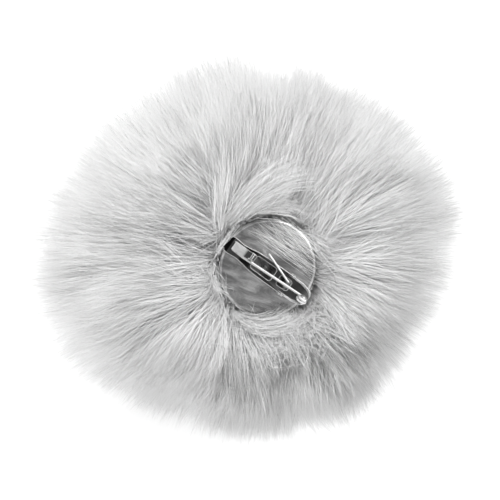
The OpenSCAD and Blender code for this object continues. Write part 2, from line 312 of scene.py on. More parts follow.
def wave(p, scale, phase):
    """Smooth noise from minus one to one: the mean of four sine waves that cross at odd angles."""
    a = p @ np.array([[1.0, 0.37, -0.52, 0.81], [-0.45, 1.0, 0.66, 0.24], [0.31, -0.58, 1.0, -0.73]])
    a = a / scale + phase + np.array([0.0, 1.7, 3.1, 4.6])
    return np.sin(a).mean(1) * 1.4


def flat_azimuth(seen):
    """Azimuth in the frame of a direction seen from the camera, in degrees, right being zero."""
    return np.radians(seen) + CLIP_TURN


def turn_gap(a, b):
    """Signed difference of two azimuths, from minus half a turn to half a turn."""
    return (a - b + np.pi) % (2 * np.pi) - np.pi


def pile_outline(level, azimuth):
    """Point of the pile's outline: an ellipse of revolution at a level angle, whose level radius
    follows the reach table round its azimuth."""
    steps = len(PILE_REACH)
    at = ((azimuth - CLIP_TURN) / (2 * np.pi) * steps) % steps
    low = np.floor(at).astype(int)
    blend = at - low
    blend = blend * blend * (3 - 2 * blend)
    widest = PILE_REACH[low % steps] * (1 - blend) + PILE_REACH[(low + 1) % steps] * blend
    r = widest * np.cos(level)
    z = BELLY_Z + FUR_B * np.sin(level)
    return np.stack([r * np.cos(azimuth), r * np.sin(azimuth), z], 1)


def outside_pits(polar, azimuth, rand):
    """True for the roots that stand outside the bare pits, whose edges are ragged."""
    normal = ball_normal(polar, azimuth)
    keep = np.ones(len(polar), bool)
    for seen, at_polar, size in PITS:
        middle = ball_normal(np.radians([at_polar]), np.array([flat_azimuth(seen)]))[0]
        apart = np.degrees(np.arccos(np.clip(normal @ middle, -1, 1)))
        keep &= apart > size * (0.6 + 0.7 * rand.random(len(polar)))
    return keep


def crosses(path, room):
    """True for the strands of which some point lies over a room."""
    start, end, half_width = room
    x = path[:, :, 0]
    inside = (x > start * MM) & (x < end * MM) & (np.abs(path[:, :, 1]) < half_width * MM)
    return inside.any(1)


def clear_of_jaw(path):
    """True for the strands that leave the jaw its room at both ends."""
    return ~(crosses(path, NOSE_ROOM) | crosses(path, PRESS_ROOM))


def combed_swing(polar, azimuth):
    """How far the fur near the disc is combed round it: clockwise along its upper left edge and
    anticlockwise along its lower edge, fading out away from the disc."""
    near = np.exp(-((polar - math.radians(37)) / math.radians(13)) ** 2)
    upper = np.exp(-(turn_gap(azimuth, flat_azimuth(108)) / math.radians(34)) ** 2)
    lower = np.exp(-(turn_gap(azimuth, flat_azimuth(-118)) / math.radians(32)) ** 2)
    return near * (0.40 * lower - 0.50 * upper)


def rubbed(polar, azimuth):
    """How rubbed down the pile is, from zero to one: a soft oval patch below the disc."""
    across = turn_gap(azimuth, flat_azimuth(RUBBED_SIDE)) / math.radians(34)
    down = (polar - math.radians(46)) / math.radians(8)
    return np.exp(-across**2 - down**2)


def scatter_roots(count, low, high, rand):
    """Evenly spread root angles between two polar angles: equal areas of the ball, jittered."""
    i = np.arange(count) + 0.5
    c = np.cos(low) + (np.cos(high) - np.cos(low)) * i / count
    polar = np.arccos(np.clip(c, -1, 1))
    azimuth = (i * GOLDEN_TURN) % (2 * np.pi)
    spacing = np.sqrt(2 * np.pi * (np.cos(low) - np.cos(high)) / count)
    polar = np.clip(polar + rand.normal(0, 0.35, count) * spacing, low, high)
    azimuth = azimuth + rand.normal(0, 0.35, count) * spacing / np.maximum(np.sin(polar), 0.15)
    return polar, azimuth, spacing


def ball_normal(polar, azimuth):
    """Unit normal of the ball at polar angle and azimuth."""
    s = np.sin(polar)
    return np.stack([s * np.cos(azimuth), s * np.sin(azimuth), np.cos(polar)], 1)


def lay_strands(polar, azimuth, swing, lift, reach):
    """Start, two controls and end of each strand's cubic curve: out along the ball's normal, then
    over to the pile's outline. Swing turns the tip round the ball, lift raises it, and reach is
    the share of the way to the outline that the strand gets."""
    normal = ball_normal(polar, azimuth)
    centre = np.array([0, 0, BALL_Z])
    root = centre + normal * (BALL_R - 0.3 * MM)
    level = np.clip(np.interp(polar, LEVELS_ROOT, LEVELS_TIP) + lift, -1.5, 1.45)
    outline = pile_outline(level, azimuth + swing)
    outline[:, 2] = np.maximum(outline[:, 2], 0.6 * MM)
    end = root + (outline - root) * reach[:, None]
    span = np.linalg.norm(end - root, axis=1)[:, None]
    first = root + normal * span * 0.34
    outward = outline - centre
    outward = outward / np.linalg.norm(outward, axis=1)[:, None]
    second = end - (0.6 * outward + 0.4 * (end - root) / span) * span * 0.36
    return root, first, second, end


def bend_curve(ends, steps):
    """Points along each cubic curve, spaced evenly in its parameter: count x steps x 3."""
    root, first, second, end = ends
    t = np.linspace(0, 1, steps)[None, :, None]
    s = 1 - t
    return (
        root[:, None] * s**3 + first[:, None] * 3 * s * s * t
        + second[:, None] * 3 * s * t * t + end[:, None] * t**3
    )


def strand_mesh(name, path, width, tint):
    """Sweeps a three-sided section along every path, tapering to a point: ring corners stand
    round the path at equal angles, the last ring is the tip, and the base is closed."""
    count, steps, _ = path.shape
    along = np.gradient(path, axis=1)
    along = along / np.maximum(np.linalg.norm(along, axis=2, keepdims=True), 1e-9)
    side = np.cross(along, np.array([0.29, 0.41, 0.865]))
    side = side / np.maximum(np.linalg.norm(side, axis=2, keepdims=True), 1e-9)
    other = np.cross(along, side)
    t = np.linspace(0, 1, steps)
    taper = np.sin(np.pi * (0.5 + 0.46 * t)) ** 0.55
    radius = width[:, None] * 0.58 * taper[None, :]
    spin = np.arange(count) * 2.4
    rings = []
    for k in range(SIDES):
        a = spin + k * 2 * np.pi / SIDES
        offset = np.cos(a)[:, None, None] * side + np.sin(a)[:, None, None] * other
        rings.append(path + offset * radius[:, :, None])
    body = np.stack(rings, 2)[:, : steps - 1].reshape(count, -1, 3)
    verts = np.concatenate([body, path[:, -1:]], 1)
    per = verts.shape[1]
    faces = [[0, 2, 1]]
    for i in range(steps - 2):
        for k in range(SIDES):
            a, b = i * SIDES + k, i * SIDES + (k + 1) % SIDES
            faces += [[a, b, b + SIDES], [a, b + SIDES, a + SIDES]]
    top = (steps - 2) * SIDES
    faces += [[top + k, top + (k + 1) % SIDES, per - 1] for k in range(SIDES)]
    faces = np.array(faces)
    loops = (faces[None] + (np.arange(count) * per)[:, None, None]).reshape(-1)
    height = np.append(np.repeat(t[:-1], SIDES), 1.0)
    uv = np.stack([0.02 + 0.96 * np.tile(height, count), 0.02 + 0.96 * np.repeat(tint, per)], 1)
    piece = surface_piece(name, verts.reshape(-1, 3), loops.reshape(-1, 3), uv[loops], STRAND_UV)
    piece.data.materials.append(FUR)
    return piece


def vary_width(rand, count, width, least=0.7, spread=0.6):
    """A width for each strand, from least to least plus spread times the given one."""
    return width * WIDEN * (least + spread * rand.random(count))


def add_curl(path, rand, size):
    """Each path winds gently round its own line, wider towards the tip."""
    count, steps, _ = path.shape
    t = np.linspace(0, 1, steps)[None]
    turn = rand.random((count, 1)) * 2 * np.pi + t * rand.normal(5, 2.5, (count, 1))
    wide = size * (0.25 + rand.random((count, 1))) * t
    for shift in (np.cos(turn) * wide, np.sin(turn) * wide):
        path = path + shift[:, :, None] * rand.normal(0, 1, (count, 1, 3))
    return path


def shade_of(path, rand):
    """Tint of each strand: mostly light, darker in patches."""
    patches = 0.14 * wave(path[:, -1], 7 * MM, 1.0) + 0.16 * wave(path[:, -1], 2.6 * MM, 2.0)
    return np.clip(0.52 + 0.22 * rand.normal(0, 1, len(path)) + patches, 0, 1)


def split_pieces(name, path, width, tint, pieces):
    """Makes the strands as several pieces, each a sector round the pompom."""
    order = np.argsort(np.arctan2(path[:, 0, 1], path[:, 0, 0]), kind="stable")
    return [
        strand_mesh(f"{name}_{k + 1}", path[part], width[part], tint[part])
        for k, part in enumerate(np.array_split(order, pieces))
    ]


def grow_zone(name, span, tufts, locks_each, strands_each, steps, width, pieces, seed, wild=1.0):
    """Fur between two polar angles of the ball, in degrees: tufts hold locks, and locks hold
    strands. Every tuft has its own swing, lift and reach, which its locks and strands share with
    small changes, and strands gather towards their lock's middle at the tip."""
    rand = np.random.default_rng(seed)
    low, high = (math.radians(angle) for angle in span)
    strands_each = int(strands_each * SHARE)
    tuft_polar, tuft_turn, _ = scatter_roots(tufts, low, high, rand)
    middle = ball_normal(tuft_polar, tuft_turn)
    tuft_swing = wild * (0.24 * wave(middle, 0.62, 2.0) + rand.normal(0, 0.15, tufts))
    tuft_swing = tuft_swing + combed_swing(tuft_polar, tuft_turn)
    tuft_lift = wild * (0.12 * wave(middle, 0.45, 0.4) + rand.normal(0, 0.11, tufts))
    tuft_reach = np.clip(rand.normal(0.97, 0.075, tufts), 0.80, 1.05)
    tuft_reach = tuft_reach * (1 - 0.42 * rubbed(tuft_polar, tuft_turn))
    locks = tufts * locks_each
    polar, turn, lock_gap = scatter_roots(locks, low, high, rand)
    owner = (ball_normal(polar, turn) @ middle.T).argmax(1)
    swing = tuft_swing[owner] + rand.normal(0, 0.08, locks) - 0.35 * turn_gap(turn, tuft_turn[owner])
    lift = tuft_lift[owner] + rand.normal(0, 0.05, locks) + 0.25 * (polar - tuft_polar[owner])
    reach = np.clip(tuft_reach[owner] + rand.normal(0, 0.045, locks), 0.5, 1.05)
    lock_path = bend_curve(lay_strands(polar, turn, swing, lift, reach), steps)
    lock_path = add_curl(lock_path, rand, 0.9 * MM)
    which = np.repeat(np.arange(locks), strands_each)
    count = len(which)
    own_polar = np.clip(polar[which] + rand.normal(0, 0.6, count) * lock_gap, low, high)
    spread = rand.normal(0, 0.6, count) * lock_gap / np.maximum(np.sin(own_polar), 0.2)
    own_turn = turn[which] + spread
    own_reach = np.clip(reach[which] * (1.01 - 0.32 * rand.random(count) ** 2), 0.35, 1.05)
    own_swing = swing[which] + rand.normal(0, 0.09, count)
    own_lift = lift[which] + rand.normal(0, 0.08, count)
    path = bend_curve(lay_strands(own_polar, own_turn, own_swing, own_lift, own_reach), steps)
    t = np.linspace(0, 1, steps)[None, :, None]
    pull = (0.15 + 0.75 * rand.random(count))[:, None, None] * t**1.2
    path = path + (lock_path[which] - path) * pull
    path = add_curl(path, rand, 0.6 * MM)
    path[:, :, 2] = np.maximum(path[:, :, 2], FLOOR_GAP)
    thick = vary_width(rand, count, width)
    # How rubbed each root is: it thins the strands out there, and darkens their tint as painted shade
    # for the hollows of the matted pile.
    rubbed_and_shaded = rubbed(own_polar, own_turn)
    tint = np.clip(shade_of(path, rand) - 0.9 * rubbed_and_shaded, 0, 1)
    keep = outside_pits(own_polar, own_turn, rand) & clear_of_jaw(path)
    keep &= rand.random(count) > 0.6 * rubbed_and_shaded
    return split_pieces(name, path[keep], thick[keep], tint[keep], pieces)


def combed_lock(rand, count, steps, start, end, bow, width, frizz):
    """Strands combed round the disc: azimuth, radius and height run evenly from start to end,
    height bows up in the middle, and each strand starts and ends a little early or late, side
    by side within the lock's width. Start and end are a seen angle in degrees, a radius and a
    height over the disc in mm."""
    t = np.linspace(0, 1, steps)[None]
    first = rand.random((count, 1)) * 0.55
    last = first + (1 - first) * (0.45 + 0.55 * rand.random((count, 1)))
    s = first + (last - first) * t
    ease = rand.normal(0, 1, (count, 1))
    turn = flat_azimuth(start[0] + (end[0] - start[0]) * s) + rand.normal(0, frizz, (count, 1)) * s
    radius = start[1] + (end[1] - start[1]) * s**1.5 + width * ease * (0.35 + 0.65 * s)
    radius = radius + rand.normal(0, 6 * frizz, (count, 1)) * (s - first)
    height = DISC.z / MM + start[2] + (end[2] - start[2]) * s + bow * np.sin(np.pi * s)
    height = height + np.abs(rand.normal(0, 0.7, (count, 1))) + 0.25 * np.abs(ease)
    path = np.stack([radius * np.cos(turn), radius * np.sin(turn), height], 2) * MM
    return add_curl(path, rand, 0.35 * MM)


COMBED_STEPS = 7
# Combed locks: number of strands, start, end, bow, width and frizz
COMBED = [
    (230, (136, 19.8, 1.8), (66, 34.0, 8.4), 0.3, 3.2, 0.16),
    (110, (112, 18.4, 1.6), (66, 19.5, 3.9), 0.6, 1.6, 0.20),
    (230, (-130, 16.4, 1.3), (-58, 14.4, 2.8), 0.3, 1.4, 0.20),
    (170, (-120, 18.0, 2.2), (-50, 17.0, 3.8), 0.6, 1.6, 0.26),
]


def comb_round_disc():
    """Locks that lie along the disc's edge and over it."""
    rand = np.random.default_rng(11)
    made = []
    for number, (count, *rest) in enumerate(COMBED):
        path = combed_lock(rand, int(count * SHARE), COMBED_STEPS, *rest)
        path = path[clear_of_jaw(path)]
        thick = vary_width(rand, len(path), 0.09 * MM)
        made.append(strand_mesh(f"combed_lock_{number + 1}", path, thick, shade_of(path, rand)))
    return made


def rim_fur():
    """Short unruly fur close round the disc: it stands up and leans every way."""
    rand = np.random.default_rng(12)
    tufts = 90
    strands_each = int(44 * SHARE)
    polar, turn, gap = scatter_roots(tufts, math.radians(37.0), math.radians(47), rand)
    which = np.repeat(np.arange(tufts), strands_each)
    count = len(which)
    swing = (0.55 * rand.normal(0, 1, tufts))[which] + rand.normal(0, 0.16, count)
    lift = (0.10 + 0.16 * rand.normal(0, 1, tufts))[which] + rand.normal(0, 0.06, count)
    reach = (0.42 + 0.16 * rand.random(tufts))[which] * (1 - 0.45 * rand.random(count) ** 2)
    own_polar = np.clip(polar[which] + rand.normal(0, 0.5, count) * gap, math.radians(36.9), 0.9)
    own_turn = turn[which] + rand.normal(0, 0.5, count) * gap / np.sin(own_polar)
    path = bend_curve(lay_strands(own_polar, own_turn, swing, lift, reach), 6)
    path = add_curl(path, rand, 0.8 * MM)
    thick = vary_width(rand, count, 0.10 * MM)
    keep = outside_pits(own_polar, own_turn, rand) & clear_of_jaw(path)
    return split_pieces("rim_fur", path[keep], thick[keep], shade_of(path, rand)[keep], 1)


def matted_fur():
    """The rubbed patch beside the disc: short curled strands that lie in every direction over
    the pile, on a band of the outline seen below the disc."""
    rand = np.random.default_rng(13)
    count = int(620 * SHARE)
    turn = flat_azimuth(rand.normal(RUBBED_SIDE, 24, count))
    radius = (23.0 + 3.0 * rand.normal(0, 1, count)) * MM
    height = DISC.z + (3.4 + 0.35 * (radius / MM - 20) + 3.0 * rand.random(count)) * MM
    start = np.stack([radius * np.cos(turn), radius * np.sin(turn), height], 1)
    heading = rand.random(count) * 2 * np.pi
    bend = rand.normal(0, 1.2, count)
    length = (3.5 + 6.0 * rand.random(count)) * MM
    steps = 6
    t = np.linspace(0, 1, steps)[None]
    angle = heading[:, None] + bend[:, None] * t
    x = np.cumsum(np.cos(angle), 1) * length[:, None] / steps
    y = np.cumsum(np.sin(angle), 1) * length[:, None] / steps
    z = 1.4 * MM * np.sin(np.pi * t) * rand.random((count, 1)) - 0.4 * MM * t
    path = start[:, None] + np.stack([x, y, z], 2)
    path = add_curl(path, rand, 0.4 * MM)
    path = path[clear_of_jaw(path)]
    thick = vary_width(rand, len(path), 0.065 * MM, least=0.6)
    return split_pieces("matted_fur", path, thick, shade_of(path, rand) * 0.85 + 0.15, 1)


def stray_hairs():
    """Single hairs that cross the disc beside the clip: straight runs from the disc's upper edge
    to its lower right one, each with a slight bow, just above the steel."""
    rand = np.random.default_rng(14)
    count = 85
    t = np.linspace(0, 1, 9)[None]
    across = 5.0 + 9.5 * rand.random((count, 1)) ** 0.8
    lean = rand.normal(0, 0.14, (count, 1))
    first = -13 + 6 * rand.random((count, 1)) + 0.5 * (across - 5)
    last = 6 + 10 * rand.random((count, 1)) ** 0.5
    along = first + (last - first) * t
    sideways = across + lean * (along - 2) + 1.1 * rand.normal(0, 1, (count, 1)) * np.sin(np.pi * t)
    sideways = np.maximum(sideways, 4.7)
    edge = np.hypot(along, sideways) / (DISC_R / MM)
    height = DISC.z / MM + 0.35 + 1.5 * rand.random((count, 1)) + 3.0 * np.maximum(edge - 0.8, 0)
    height = height + 0.5 * rand.random((count, 1)) * np.sin(np.pi * t)
    path = np.stack([along, sideways, height], 2) * MM
    thick = 0.075 * MM * (0.7 + 0.5 * rand.random(count))
    return [strand_mesh("stray_hairs", path, thick, np.full(count, 0.95))]


FUR = fur_material()


def grow_fur():
    """The whole pile: round the disc, round the sides, the face below, and the loose strands."""
    made = grow_zone("back_fur", (37.5, 68), tufts=110, locks_each=12, strands_each=20, steps=6,
                     width=0.125 * MM, pieces=4, seed=5)
    made += grow_zone("side_fur", (60, 112), tufts=230, locks_each=9, strands_each=19, steps=4,
                      width=0.14 * MM, pieces=4, seed=6)
    made += grow_zone("face_fur", (108, 180), tufts=180, locks_each=7, strands_each=17, steps=4,
                      width=0.17 * MM, pieces=3, seed=7, wild=0.8)
    return made + comb_round_disc() + rim_fur() + matted_fur() + stray_hairs()


for piece in grow_fur():
    declare(piece, "back", "fur_pile")


# ---- swept and turned surfaces ----

def grid_faces(rows, columns, close_rows):
    """Quads of a grid of rows x columns points, closed round its columns, and round its rows
    too if asked, with faces outwards where rows run along the path and columns turn round it."""
    last = rows if close_rows else rows - 1
    i, k = np.meshgrid(np.arange(last), np.arange(columns), indexing="ij")
    a = i * columns + k
    b = i * columns + (k + 1) % columns
    c = ((i + 1) % rows) * columns + (k + 1) % columns
    d = ((i + 1) % rows) * columns + k
    quads = np.stack([a, b, c, d], 2).reshape(-1, 4)
    return np.concatenate([quads[:, [0, 1, 2]], quads[:, [0, 2, 3]]])


def cap_faces(rows, columns):
    """Triangles that close the first and last rows of a grid to the two points after it."""
    k = np.arange(columns)
    top, tip = (rows - 1) * columns, rows * columns
    low = np.stack([(k + 1) % columns, k, np.full(columns, tip)], 1)
    high = np.stack([top + k, top + (k + 1) % columns, np.full(columns, tip + 1)], 1)
    return np.concatenate([low, high])


def tube(path, radius, sides=14, up=(0, 0, 1), closed=False):
    """A round wire: circles of the radius stand across the path at each point, turned by the
    cross product of the path's direction and up. Open ends are closed by low domes."""
    along = np.roll(path, -1, 0) - np.roll(path, 1, 0) if closed else np.gradient(path, axis=0)
    along = along / np.linalg.norm(along, axis=1)[:, None]
    side = np.cross(along, np.array(up, float))
    side = side / np.linalg.norm(side, axis=1)[:, None]
    other = np.cross(along, side)
    size = np.full(len(path), radius)
    if not closed:
        ends = [path[0] - along[0] * radius * 0.35, path[-1] + along[-1] * radius * 0.35]
        path = np.concatenate([ends[:1], path, ends[1:]])
        side, other = (np.concatenate([v[:1], v, v[-1:]]) for v in (side, other))
        size = np.concatenate([[radius * 0.6], size, [radius * 0.6]])
    a = np.arange(sides) * 2 * np.pi / sides
    ring = np.cos(a)[None, :, None] * side[:, None] + np.sin(a)[None, :, None] * other[:, None]
    verts = (path[:, None] + ring * size[:, None, None]).reshape(-1, 3)
    faces = grid_faces(len(path), sides, closed)
    if not closed:
        tips = [path[0] - along[0] * radius * 0.1, path[-1] + along[-1] * radius * 0.1]
        verts = np.concatenate([verts, tips])
        faces = np.concatenate([faces, cap_faces(len(path), sides)])
    return verts, faces


def join(parts):
    """Puts several vertex and face arrays in one."""
    shift = np.cumsum([0] + [len(v) for v, f in parts[:-1]])
    return (np.concatenate([v for v, f in parts]),
            np.concatenate([f + s for (v, f), s in zip(parts, shift)]))


def closed_skin(radius, height, columns):
    """A closed skin turned round the disc's axis: radius and height are arrays of profile
    points x azimuths, and the first and last profile points are poles on the axis."""
    turn = np.arange(columns) * 2 * np.pi / columns
    x = radius * np.cos(turn)
    y = radius * np.sin(turn)
    verts = np.stack([x, y, height], 2)[1:-1].reshape(-1, 3)
    rows = len(radius) - 2
    faces = np.concatenate([grid_faces(rows, columns, False), cap_faces(rows, columns)])
    poles = [[0, 0, height[0].mean()], [0, 0, height[-1].mean()]]
    return np.concatenate([verts, poles]), faces


def outward(piece):
    """Turns every face of a closed piece outwards."""
    shape = bmesh.new()
    shape.from_mesh(piece.data)
    bmesh.ops.recalc_face_normals(shape, faces=shape.faces)
    shape.to_mesh(piece.data)
    shape.free()
    return piece


def closed_piece(name, shell, material, body, node, uv=None):
    """A declared piece of one or more closed shells, in its material."""
    piece = outward(surface_piece(name, *shell, uv))
    piece.data.materials.append(material)
    declare(piece, body, node)
    return piece


# ---- soft parts under the pile ----

BACK_Z = backing_high.z
BACKING_T = 1.1 * MM
MOUTH_R = 2.5 * MM
THREAD_RING_R = 4.2 * MM
THREAD_R = 0.25 * MM
KNOT_R = 0.6 * MM
KNOT_X = THREAD_RING_R + THREAD_R + KNOT_R * 0.8
FLAT_ROWS = 21
FLAT_H = BACK_Z - BALL_Z


def fibre_group():
    """Fibres seen close: a tone and a relief of fine tangled threads over soft lumps."""
    group, source, sink = new_group("fibre_tangle", ("Thread Size", "Lump Size", "Relief"),
                                    (("Tone", "Float"), ("Normal", "Vector")))
    place = add_node(group, "ShaderNodeTexCoord").outputs["Object"]
    fine = add_node(group, "ShaderNodeTexNoise", [(place, 0), (source.outputs[0], "Scale")],
                    Detail=4.0, Distortion=2.5)
    lumps = add_node(group, "ShaderNodeTexNoise", [(place, 0), (source.outputs[1], "Scale")])
    half = add_node(group, "ShaderNodeMath", [(fine.outputs[0], 0)], operation="MULTIPLY", i1=0.6)
    tone = add_node(group, "ShaderNodeMath", [(lumps.outputs[0], 0), (half.outputs[0], 2)],
                    operation="MULTIPLY_ADD", i1=0.4)
    relief = add_node(group, "ShaderNodeBump",
                      [(tone.outputs[0], "Height"), (source.outputs[2], "Distance")])
    group.links.new(tone.outputs[0], sink.inputs[0])
    group.links.new(relief.outputs[0], sink.inputs[1])
    return group


FIBRES = fibre_group()


def fibre_material(name, dark, light, rough, thread, lump, relief, sheen=0.3):
    """A soft finish of tangled fibres between two tones."""
    material, tree, shader = new_material(name)
    set_plain(shader, Roughness=rough, Specular_IOR_Level=0.3, Sheen_Weight=sheen)
    tangle = place_group(tree, FIBRES, thread, lump, relief)
    tone = ramp(tree, tangle.outputs["Tone"], [(0.35, dark), (0.62, light)])
    tree.links.new(tone.outputs[0], shader.inputs["Base Color"])
    tree.links.new(tangle.outputs["Normal"], shader.inputs["Normal"])
    return material


def knit_material():
    """Knitted backing: rows of loops along the surface's own length, each a pair of leaning
    stitches, with fuzz between them."""
    material, tree, shader = new_material("knit_backing")
    set_plain(shader, Roughness=0.85, Specular_IOR_Level=0.2, Sheen_Weight=0.3)
    place = add_node(tree, "ShaderNodeUVMap", uv_map="surface")
    split = add_node(tree, "ShaderNodeSeparateXYZ", [(place.outputs[0], 0)])
    column = add_node(tree, "ShaderNodeMath", [(split.outputs[0], 0)], operation="MULTIPLY", i1=110.0)
    across = add_node(tree, "ShaderNodeMath", [(column.outputs[0], 0)], operation="PINGPONG", i1=0.5)
    lean = add_node(tree, "ShaderNodeMath", [(split.outputs[1], 0), (across.outputs[0], 2)],
                    operation="MULTIPLY_ADD", i1=70.0)
    row = add_node(tree, "ShaderNodeMath", [(lean.outputs[0], 0)], operation="PINGPONG", i1=0.5)
    loop = add_node(tree, "ShaderNodeMath", [(across.outputs[0], 0), (row.outputs[0], 1)],
                    operation="ADD")
    height = ramp(tree, loop.outputs[0], [(0.12, 0.0), (0.5, 0.8), (0.9, 1.0)])
    # Painted shade: the tone drops where the loops dip between the stitches, on the same pattern as
    # the relief.
    tone = ramp(tree, loop.outputs[0], [(0.1, 0.48), (0.45, 0.74), (0.9, 0.80)])
    tangle = place_group(tree, FIBRES, 1900.0, 220.0, 0.00010)
    fuzz = ramp(tree, tangle.outputs["Tone"], [(0.35, 0.86), (0.6, 1.0)])
    tree.links.new(multiply(tree, tone.outputs[0], fuzz.outputs[0]), shader.inputs["Base Color"])
    relief = add_node(tree, "ShaderNodeBump",
                      [(height.outputs[0], "Height"), (tangle.outputs["Normal"], "Normal")],
                      Distance=0.00025)
    tree.links.new(relief.outputs[0], shader.inputs["Normal"])
    return material


def make_backing():
    """The gathered knit: a ball with a flat back. The outer skin runs from the pole at the foot
    up to the flat back, in to the mouth and back down inside. Pleats run in to the mouth, as
    deep as a share of the thickness, and fade out over the shoulder."""
    columns = 288
    edge = math.acos(FLAT_H / BALL_R)
    inner_r = BALL_R - BACKING_T
    inner_h = FLAT_H - BACKING_T
    inner_edge = math.acos(inner_h / inner_r)
    a = np.linspace(np.pi, edge, 56)
    b = np.linspace(inner_edge, np.pi, 44)
    out_r = math.sin(edge) * BALL_R
    in_r = math.sin(inner_edge) * inner_r
    flat = np.linspace(1, 0, FLAT_ROWS + 1)[1:]
    r = np.concatenate([BALL_R * np.sin(a), MOUTH_R + (out_r - MOUTH_R) * flat,
                        MOUTH_R + (in_r - MOUTH_R) * flat[::-1], inner_r * np.sin(b)])
    z = np.concatenate([BALL_R * np.cos(a), np.full(FLAT_ROWS, FLAT_H),
                        np.full(FLAT_ROWS, inner_h), inner_r * np.cos(b)])
    half = len(a) + FLAT_ROWS
    outer = np.arange(len(r)) < half
    turn = np.arange(columns) * 2 * np.pi / columns
    pleat = 0.5 + 0.5 * np.cos(48 * turn + 1.3 * np.sin(5 * turn) + 0.8 * np.sin(11 * turn))
    fade = np.clip((z - FLAT_H + 7 * MM) / (7 * MM), 0, 1) ** 1.5
    depth = 0.62 * BACKING_T * fade[:, None] * pleat[None] ** 1.5 * outer[:, None]
    size = np.hypot(r, z)
    shrink = (size[:, None] - depth) / size[:, None]
    on_back = (outer & (z >= FLAT_H - 1e-9))[:, None]
    radius = np.where(on_back, r[:, None], r[:, None] * shrink)
    height = np.where(on_back, z[:, None] - depth, z[:, None] * shrink) + BALL_Z
    verts, faces = closed_skin(radius, height, columns)
    along = np.cumsum(np.hypot(np.diff(r, prepend=0), np.diff(z, prepend=z[0])))
    along = along / along[-1]
    u = np.append(np.tile(turn / (2 * np.pi), len(r) - 2), [0.5, 0.5])
    v = np.append(np.repeat(along[1:-1], columns), [0.0, 1.0])
    corner = u[faces]
    wraps = (corner.max(1) - corner.min(1) > 0.5)[:, None]
    corner = np.where(wraps & (corner < 0.5), corner + 1, corner)
    uv = np.stack([corner, v[faces]], 2)
    closed_piece("knitted_backing", (verts, faces), knit_material(), "back", "cover_backing",
                 uv)


def make_filling():
    """Fibre filling: a flat-backed ball just inside the knit, drawn in by soft lumps of two
    sizes, each worked out on its own direction."""
    columns = 160
    room = BACKING_T + 0.15 * MM
    ball = BALL_R - room
    top = FLAT_H - room
    edge = math.acos(top / ball)
    a = np.linspace(np.pi, edge, 60)
    flat = np.linspace(1, 0, FLAT_ROWS + 1)[1:]
    r = np.concatenate([ball * np.sin(a), math.sin(edge) * ball * flat])
    z = np.concatenate([ball * np.cos(a), np.full(FLAT_ROWS, top)])
    turn = np.arange(columns) * 2 * np.pi / columns
    points = np.stack([r[:, None] * np.cos(turn), r[:, None] * np.sin(turn),
                       np.tile(z[:, None], columns)], 2).reshape(-1, 3)
    lumps = 0.6 * wave(points, 2.6 * MM, 0.7) + 0.4 * wave(points, 1.1 * MM, 3.0)
    pull = 1 - 0.030 * (1 + lumps.reshape(len(r), columns))
    shell = closed_skin(r[:, None] * pull, z[:, None] * pull + BALL_Z, columns)
    fibre = fibre_material("filling_fibre", 0.70, 0.93, 0.9, 900.0, 150.0, 0.0006)
    piece = closed_piece("fibre_filling", shell, fibre, "back", "stuffing_ball")


def make_thread():
    """Two plies twisted round each other along the ring that draws the mouth shut, and a knot:
    a trefoil curve beside the ring."""
    t = np.arange(720) / 720 * 2 * np.pi
    z = BACK_Z + THREAD_R
    plies = []
    for phase in (0, np.pi):
        twist = 60 * t + phase
        r = THREAD_RING_R + 0.115 * MM * np.cos(twist)
        path = np.stack([r * np.cos(t), r * np.sin(t), z + 0.115 * MM * np.sin(twist)], 1)
        plies.append(tube(path, 0.135 * MM, 8, closed=True))
    s = np.arange(120) / 120 * 2 * np.pi
    size = 0.14 * MM
    knot = np.stack([
        size * (np.sin(s) + 2 * np.sin(2 * s)) + KNOT_X,
        size * (np.cos(s) - 2 * np.cos(2 * s)), -1.9 * size * np.sin(3 * s) + BACK_Z + KNOT_R,
    ], 1)
    plies.append(tube(knot, 0.16 * MM, 8, closed=True))
    cotton = fibre_material("thread_cotton", 0.62, 0.86, 0.7, 6000.0, 900.0, 0.00004)
    closed_piece("twisted_thread", join(plies), cotton, "back", "gathering_thread")


def make_glue():
    """Set hot-melt glue: a squeezed-out pad whose wavy edge bulges, with a channel pressed in
    its underside by the thread and its knot and two pits in its top round the rivet tails."""
    columns = 200
    t = np.arange(columns) * 2 * np.pi / columns
    pad_r = DISC_R - 1.6 * MM
    edge = pad_r * (0.975 - 0.018 * np.cos(5 * t + 1) - 0.007 * np.cos(13 * t))
    thick = DISC_WALL - 0.5 * MM
    share = np.concatenate([np.linspace(0, 0.97, 52), [0.985, 0.995], [1.0],
                            [0.995, 0.985], np.linspace(0.97, 0, 52)])
    radius = share[:, None] * edge[None]
    level = np.concatenate([np.zeros(52), [0.03, 0.15], [0.5], [0.85, 0.97], np.ones(52)])
    x, y = radius * np.cos(t), radius * np.sin(t)
    channel = 0.62 * MM * np.exp(-((radius - THREAD_RING_R) / (0.55 * MM)) ** 4)
    pocket = 1.35 * MM * np.exp(-(np.hypot(x - KNOT_X, y) / (0.95 * MM)) ** 4)
    pits = sum(0.5 * MM * np.exp(-(np.hypot(x - rivet, y + 0.8 * MM) / (1.25 * MM)) ** 6)
               for rivet in (-1.2 * MM, 3.2 * MM))
    low = BACK_Z + np.maximum(channel, pocket)
    high = BACK_Z + thick - 0.02 * MM - pits
    height = low * (1 - level[:, None]) + high * level[:, None]
    glue = fibre_material("hot_melt_glue", 0.60, 0.74, 0.28, 420.0, 140.0, 0.00012, 0.0)
    closed_piece("glue_bead", closed_skin(radius, height, columns), glue, "back", "glue_pad")


make_backing()
make_filling()
make_thread()
make_glue()


# ---- metal ----

